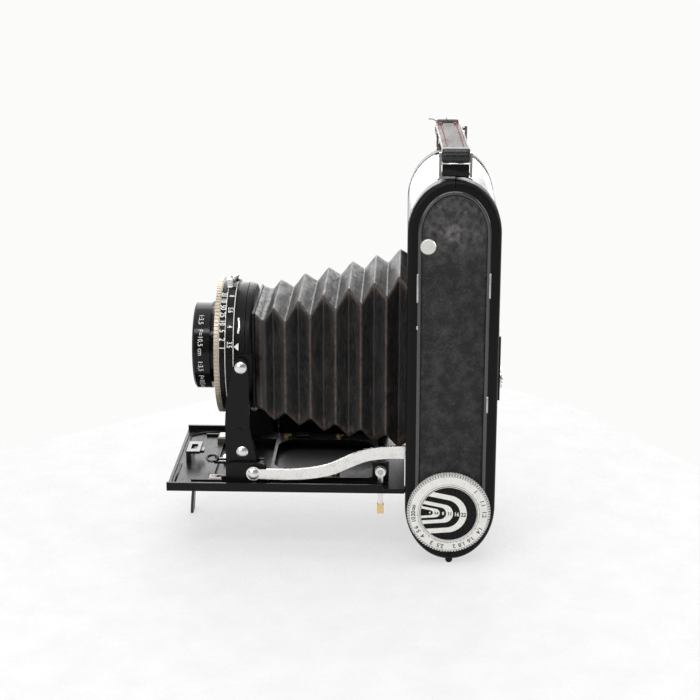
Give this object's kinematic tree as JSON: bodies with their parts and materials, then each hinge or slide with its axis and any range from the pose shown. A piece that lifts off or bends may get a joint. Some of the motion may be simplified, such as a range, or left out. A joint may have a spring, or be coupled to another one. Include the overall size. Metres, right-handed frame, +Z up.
{
  "type": "folding camera",
  "caption": "Roll-film folding camera standing on its short end, bed open and lens board erected on leather bellows, with side focusing dial.",
  "frame": {"origin": "centre of the object's footprint, on the floor it stands on", "axes": "+Z up along the body's long side, -Y the way the lens looks, +X towards the end face with the focusing dial"},
  "size_m": [0.0956, 0.1424, 0.1789],
  "materials": {
    "black_lacquer": "glossy black lacquer",
    "black_satin": "satin black enamel",
    "body_leather": "fine grained black leathercloth",
    "bellows_leather": "thin black leather, edges rubbed brown",
    "strap_leather": "dark leather with red stitching",
    "nickel": "polished nickel plate",
    "steel": "plain steel",
    "dial_silver": "satin silver with black figures",
    "scale_black": "black with white figures",
    "brass": "worn brass",
    "blackened_steel": "blackened spring steel",
    "glass": "polished optical glass",
    "red_glass": "deep red glass",
    "button_silver": "turned bright steel"
  },
  "bodies": {
    "body": {"front_shell": "black_lacquer", "front_leather": "body_leather", "end_plates": "black_satin", "end_leathers": "body_leather", "hinge_pins": "black_satin", "back_catch": "black_lacquer", "film_gate": "black_satin", "film_rollers": "steel", "spool_pins": "steel", "depth_disc": "scale_black", "strap_posts": "nickel", "carry_strap": "strap_leather", "finder_housing": "black_lacquer", "finder_glasses": "glass", "bellows": "bellows_leather"},
    "back": {"back_door": "black_lacquer", "back_leather": "body_leather", "pressure_plate": "blackened_steel", "pressure_springs": "steel", "window_frame": "black_satin", "window_glass": "red_glass"},
    "window_slider": {"window_cover": "nickel"},
    "winder": {"winding_shaft": "steel", "winding_knob": "nickel", "take_up_spool": "black_satin"},
    "supply": {"supply_spool": "black_satin"},
    "dial": {"focus_dial": "dial_silver"},
    "button": {"release_button": "button_silver"},
    "bed": {"bed_plate": "black_satin", "tripod_bush": "nickel", "bed_brackets": "black_satin", "bed_catch": "steel", "distance_stops": "nickel", "release_link": "nickel", "trigger_bracket": "black_satin", "foot_hinge": "black_satin"},
    "foot": {"bed_foot": "blackened_steel"},
    "trigger_base": {"trigger_hub": "steel"},
    "trigger": {"trigger_lever": "nickel", "trigger_tip": "brass"},
    "struts": {"struts": "nickel", "strut_rivets": "nickel"},
    "carriage": {"carriage": "black_satin", "carriage_plate": "black_satin", "brass_screws": "brass"},
    "uprights": {"uprights": "black_satin", "upright_rivets": "nickel"},
    "board": {"lens_board": "black_lacquer", "board_rivets": "nickel", "bellows_frame": "black_satin", "shutter_housing": "black_lacquer", "aperture_band": "scale_black", "lens_barrel": "black_lacquer", "front_element": "glass", "inner_elements": "glass", "rear_cell": "black_satin", "shutter_blades": "blackened_steel", "iris_blades": "blackened_steel"},
    "speed_ring": {"speed_ring": "nickel"},
    "cocking": {"cocking_lever": "nickel"}
  },
  "joints": [
    {"name": "bed_fold", "type": "hinge", "parent": "body", "child": "bed", "pos_m": [0.0042, 0.03175, 0.032], "axis": [-1, 0, 0], "range_deg": [0, 90], "deforming": ["bellows"]},
    {"name": "focus_slide", "type": "slide", "parent": "bed", "child": "carriage", "axis": [0, -1, 0], "range_m": [0, 0.012]},
    {"name": "uprights_fold", "type": "hinge", "parent": "carriage", "child": "uprights", "pos_m": [0.0042, -0.03925, 0.0462], "axis": [-1, 0, 0], "range_deg": [0, 79.84]},
    {"name": "board_level", "type": "hinge", "parent": "uprights", "child": "board", "pos_m": [0.0042, -0.03925, 0.0837], "axis": [-1, 0, 0], "range_deg": [-169.84, 0]},
    {"name": "struts_swing", "type": "hinge", "parent": "bed", "child": "struts", "pos_m": [0.0042, -0.03425, 0.0377], "axis": [-1, 0, 0], "range_deg": [-4.6, 0]},
    {"name": "trigger_fold", "type": "hinge", "parent": "bed", "child": "trigger_base", "pos_m": [0.0042, 0.01975, 0.0382], "axis": [-1, 0, 0], "range_deg": [0, 78.1]},
    {"name": "trigger_press", "type": "hinge", "parent": "trigger_base", "child": "trigger", "pos_m": [0.0042, 0.01975, 0.0382], "axis": [-1, 0, 0], "range_deg": [-8, 0]},
    {"name": "foot_fold", "type": "hinge", "parent": "bed", "child": "foot", "pos_m": [0.0042, -0.06325, 0.0292], "axis": [1, 0, 0], "range_deg": [0, 75]},
    {"name": "back_swing", "type": "hinge", "parent": "body", "child": "back", "pos_m": [0.0042, 0.04925, 0.0015], "axis": [-1, 0, 0], "range_deg": [0, 100]},
    {"name": "window_slide", "type": "slide", "parent": "back", "child": "window_slider", "axis": [0, 0, 1], "range_m": [0, 0.0115]},
    {"name": "winding_turn", "type": "hinge", "parent": "body", "child": "winder", "pos_m": [0.0042, 0.04925, 0.1502], "axis": [-1, 0, 0], "continuous": true},
    {"name": "supply_turn", "type": "hinge", "parent": "body", "child": "supply", "pos_m": [0.0042, 0.04925, 0.0192], "axis": [-1, 0, 0], "continuous": true},
    {"name": "focus_turn", "type": "hinge", "parent": "body", "child": "dial", "pos_m": [0.0042, 0.04875, 0.0242], "axis": [-1, 0, 0], "range_deg": [0, 300.5]},
    {"name": "button_press", "type": "slide", "parent": "body", "child": "button", "axis": [-1, 0, 0], "range_m": [0, 0.0012]},
    {"name": "speed_turn", "type": "hinge", "parent": "board", "child": "speed_ring", "pos_m": [0.0042, -0.04975, 0.0847], "axis": [0, -1, 0], "range_deg": [0, 180]},
    {"name": "cocking_swing", "type": "hinge", "parent": "board", "child": "cocking", "pos_m": [0.0042, -0.04625, 0.0847], "axis": [0, -1, 0], "range_deg": [0, 45]}
  ],
  "couplings": [
    {"joint": "uprights_fold", "follows": "bed_fold", "ratio": 0.88651},
    {"joint": "board_level", "follows": "bed_fold", "ratio": -1.8865},
    {"joint": "struts_swing", "follows": "bed_fold", "ratio": -0.05},
    {"joint": "trigger_fold", "follows": "bed_fold", "ratio": 0.86667},
    {"joint": "focus_turn", "follows": "focus_slide", "rad_per_m": 436.33}
  ]
}
